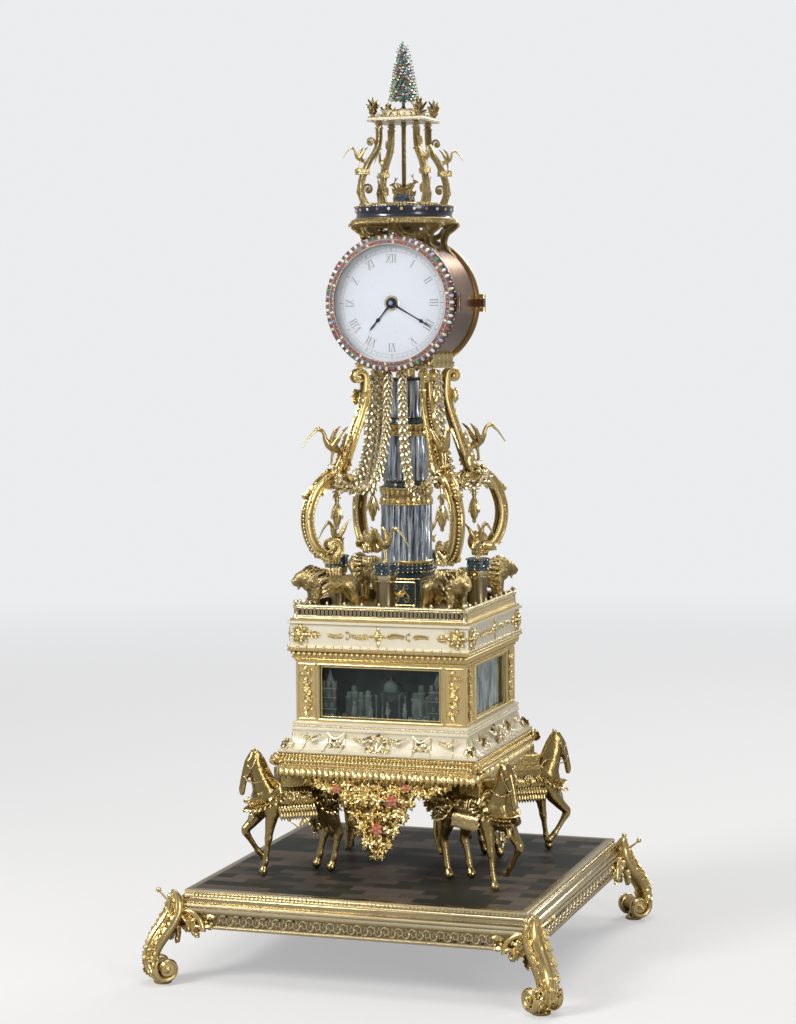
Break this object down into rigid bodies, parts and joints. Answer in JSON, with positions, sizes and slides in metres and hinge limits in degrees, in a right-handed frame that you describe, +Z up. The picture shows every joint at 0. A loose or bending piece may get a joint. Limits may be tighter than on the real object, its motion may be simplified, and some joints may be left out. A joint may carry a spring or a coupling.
{
  "type": "automaton clock",
  "caption": "Gilt automaton tower clock: horses carry a case with a moving scene, lions and scroll legs hold a glass cascade, drum clock and jewelled tree",
  "frame": {"origin": "middle of the footprint, on the surface that the four feet stand on", "axes": "+X to the right as seen from the dial, -Y out of the dial, +Z up"},
  "size_m": [0.5296, 0.5296, 1.148],
  "materials": {
    "gilt_bronze": "polished fire-gilt bronze",
    "pale_gilt": "bright gilt castings",
    "brass": "polished brass",
    "slab_stone": "dark polished stone with a faint check",
    "white_panel": "silvered white panels with gilt relief",
    "window_pane": "clear",
    "rod_glass": "twisted clear rods",
    "scenery_paint": "matt grey paint",
    "figure_paint": "matt grey paint",
    "mirror": "silvered",
    "steel": "polished",
    "bell_metal": "turned bell metal",
    "dark_enamel": "dark japanned",
    "drum_bronze": "dark polished bronze",
    "dial_enamel": "glossy white enamel",
    "blued_steel": "blued",
    "blue_enamel": "deep blue enamel"
  },
  "bodies": {
    "tower": {"plinth_slab": "slab_stone", "plinth_moulding": "brass", "plinth_frieze": "brass", "scroll_feet": "gilt_bronze", "horse_front_left": "gilt_bronze", "horse_front_right": "gilt_bronze", "horse_rear_left": "gilt_bronze", "horse_rear_right": "gilt_bronze", "case_floor": "gilt_bronze", "gadroon_moulding": "gilt_bronze", "apron_garlands": "gilt_bronze", "cove_panels": "white_panel", "window_frame": "gilt_bronze", "window_glass": "window_pane", "cornice": "white_panel", "case_top": "gilt_bronze", "gallery": "gilt_bronze", "scenery": "scenery_paint", "side_mirrors": "mirror", "side_rods": "rod_glass", "music_frame": "brass", "bell_nest": "bell_metal", "pedestals": "brass", "cranes": "gilt_bronze", "lions": "gilt_bronze", "cascade_basin": "dark_enamel", "scroll_legs": "gilt_bronze", "garlands": "pale_gilt", "shoulder_drops": "gilt_bronze", "drum_cradle": "gilt_bronze", "clock_drum": "drum_bronze", "dial": "dial_enamel", "movement_frame": "brass", "crown_brackets": "gilt_bronze", "crown_platform": "blue_enamel", "lyre_legs": "gilt_bronze", "crown_plate": "white_panel"},
    "rear_door": {"rear_door": "gilt_bronze"},
    "procession": {"procession": "figure_paint"},
    "spring_barrel": {"spring_barrel": "brass"},
    "music_barrel": {"music_barrel": "brass"},
    "governor_fly": {"governor_fly": "steel"},
    "bell_hammers": {"bell_hammers": "steel"},
    "cascade": {"cascade_column": "gilt_bronze", "cascade_rods_lower": "rod_glass", "cascade_rods_middle": "rod_glass", "cascade_rods_upper": "rod_glass"},
    "bezel": {"bezel": "gilt_bronze", "bezel_glass": "window_pane"},
    "hour": {"hour_wheel": "brass", "hour_hand": "blued_steel"},
    "minute": {"center_arbor": "steel", "minute_hand": "blued_steel"},
    "minute_wheel": {"minute_wheel": "brass"},
    "going_barrel": {"going_barrel": "brass"},
    "balance": {"balance": "gilt_bronze"},
    "drum_back_door": {"drum_back_door": "gilt_bronze"},
    "pavilion_turntable": {"carousel": "gilt_bronze", "carousel_animals": "gilt_bronze", "jewel_tree": "pale_gilt"}
  },
  "joints": [
    {"name": "rear_door_hinge", "type": "hinge", "parent": "tower", "child": "rear_door", "pos_m": [0.088, 0.1135, 0.3445], "axis": [0, 0, -1], "range_deg": [0, 110]},
    {"name": "procession_slide", "type": "slide", "parent": "tower", "child": "procession", "axis": [1, 0, 0], "range_m": [-0.028, 0.028]},
    {"name": "spring_barrel_spin", "type": "hinge", "parent": "tower", "child": "spring_barrel", "pos_m": [0, 0.062, 0.344], "axis": [1, 0, 0], "continuous": true},
    {"name": "music_barrel_spin", "type": "hinge", "parent": "tower", "child": "music_barrel", "pos_m": [0, 0.022, 0.344], "axis": [1, 0, 0], "continuous": true},
    {"name": "governor_spin", "type": "hinge", "parent": "tower", "child": "governor_fly", "pos_m": [0, 0.00121, 0.356], "axis": [1, 0, 0], "continuous": true},
    {"name": "hammer_rock", "type": "hinge", "parent": "tower", "child": "bell_hammers", "pos_m": [0, 0.003, 0.316], "axis": [1, 0, 0], "range_deg": [-6, 4]},
    {"name": "cascade_spin", "type": "hinge", "parent": "tower", "child": "cascade", "pos_m": [0, 0, 0.5], "axis": [0, 0, 1], "continuous": true},
    {"name": "bezel_hinge", "type": "hinge", "parent": "tower", "child": "bezel", "pos_m": [0.088, -0.0575, 0.823], "axis": [0, 0, 1], "range_deg": [0, 110]},
    {"name": "barrel_spin", "type": "hinge", "parent": "tower", "child": "going_barrel", "pos_m": [0, 0, 0.791], "axis": [0, -1, 0], "continuous": true},
    {"name": "minute_spin", "type": "hinge", "parent": "tower", "child": "minute", "pos_m": [0, 0, 0.823], "axis": [0, 1, 0], "continuous": true},
    {"name": "minute_wheel_spin", "type": "hinge", "parent": "tower", "child": "minute_wheel", "pos_m": [0.024, 0, 0.823], "axis": [0, -1, 0], "continuous": true},
    {"name": "hour_spin", "type": "hinge", "parent": "tower", "child": "hour", "pos_m": [0, 0, 0.823], "axis": [0, 1, 0], "continuous": true},
    {"name": "balance_rock", "type": "hinge", "parent": "tower", "child": "balance", "pos_m": [0.03, 0, 0.853], "axis": [0, 1, 0], "range_deg": [-135, 135], "stiffness_Nm_per_rad": 0.0001},
    {"name": "back_door_hinge", "type": "hinge", "parent": "tower", "child": "drum_back_door", "pos_m": [0.088, 0.049, 0.823], "axis": [0, 0, -1], "range_deg": [0, 110]},
    {"name": "pavilion_spin", "type": "hinge", "parent": "tower", "child": "pavilion_turntable", "pos_m": [0, 0, 1], "axis": [0, 0, 1], "continuous": true}
  ],
  "couplings": [
    {"joint": "music_barrel_spin", "follows": "spring_barrel_spin", "ratio": -3},
    {"joint": "governor_spin", "follows": "spring_barrel_spin", "ratio": 9},
    {"joint": "minute_spin", "follows": "barrel_spin", "ratio": 4},
    {"joint": "minute_wheel_spin", "follows": "barrel_spin", "ratio": 1.3333},
    {"joint": "hour_spin", "follows": "barrel_spin", "ratio": 0.33333}
  ]
}
